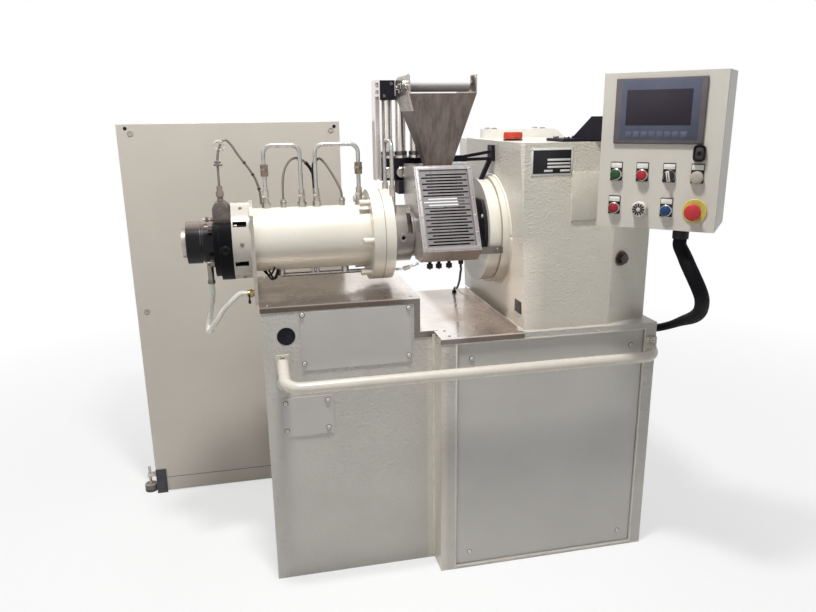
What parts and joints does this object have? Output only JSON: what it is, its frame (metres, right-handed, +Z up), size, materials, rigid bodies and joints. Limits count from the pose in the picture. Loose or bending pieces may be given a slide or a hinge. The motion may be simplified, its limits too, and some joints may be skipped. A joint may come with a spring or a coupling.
{
  "type": "rubber extruder",
  "caption": "Cold-feed rubber extruder on a welded base, with jacketed barrel, die head, slotted guard, hopper, gearbox, operator panel and control cabinet.",
  "frame": {"origin": "on the floor under the middle of the machine base", "axes": "+X along the screw axis from the die head to the gearbox, +Y to the back of the machine, +Z up"},
  "size_m": [1.6922, 1.3526, 1.459],
  "materials": {
    "base_paint": "hammered satin",
    "machine_paint": "semi-gloss",
    "gearbox_paint": "textured semi-gloss",
    "panel_paint": "fine texture",
    "cabinet_paint": "fine texture",
    "rail_white": "gloss",
    "stainless": "brushed",
    "bright_steel": "turned",
    "tube_steel": "drawn",
    "black_oxide": "satin black oxide",
    "black_plastic": "matte",
    "black_rubber": "matte",
    "braided_cable": "braided sheath",
    "clear_hose": "translucent",
    "brass": "satin",
    "roller_white": "satin",
    "red_plastic": "gloss",
    "display_plastic": "matte"
  },
  "bodies": {
    "machine": {"base_frame": "base_paint", "access_panels": "base_paint", "hand_rail": "rail_white", "drip_tray": "stainless", "barrel_support_plate": "machine_paint", "barrel": "machine_paint", "feed_casting": "machine_paint", "die_head_ring": "machine_paint", "die_flange": "black_oxide", "die_nozzle": "black_oxide", "nozzle_ring": "bright_steel", "head_hinge_lug": "bright_steel", "die_nuts": "bright_steel", "cooling_tubes": "tube_steel", "tube_fittings": "tube_steel", "sensor_cable": "braided_cable", "front_barrel_lead": "braided_cable", "rear_barrel_lead": "braided_cable", "hose_elbow": "brass", "drain_hose": "clear_hose", "slotted_guard": "stainless", "guard_knobs": "black_plastic", "guard_cable": "black_rubber", "guard_bar": "bright_steel", "hopper": "stainless", "roller_side_plates": "stainless", "feed_columns": "bright_steel", "column_blocks": "black_oxide", "hopper_arm": "black_oxide", "gearbox": "gearbox_paint", "gearbox_flange": "gearbox_paint", "seal_plate": "black_oxide", "drain_plug": "bright_steel", "breather_cap": "red_plastic", "rear_drive_housing": "machine_paint", "panel_bracket": "black_oxide", "panel_box": "panel_paint", "operator_display": "display_plastic", "panel_controls": "black_plastic", "cable_glands": "black_plastic", "panel_conduit": "black_rubber", "cabinet": "cabinet_paint", "cabinet_plinth": "cabinet_paint", "cabinet_feet": "black_plastic"},
    "roller": {"guide_roller": "roller_white"}
  },
  "joints": [
    {"name": "roller_spin", "type": "hinge", "parent": "machine", "child": "roller", "pos_m": [-0.035, -0.045, 1.434], "axis": [1, 0, 0], "continuous": true}
  ]
}
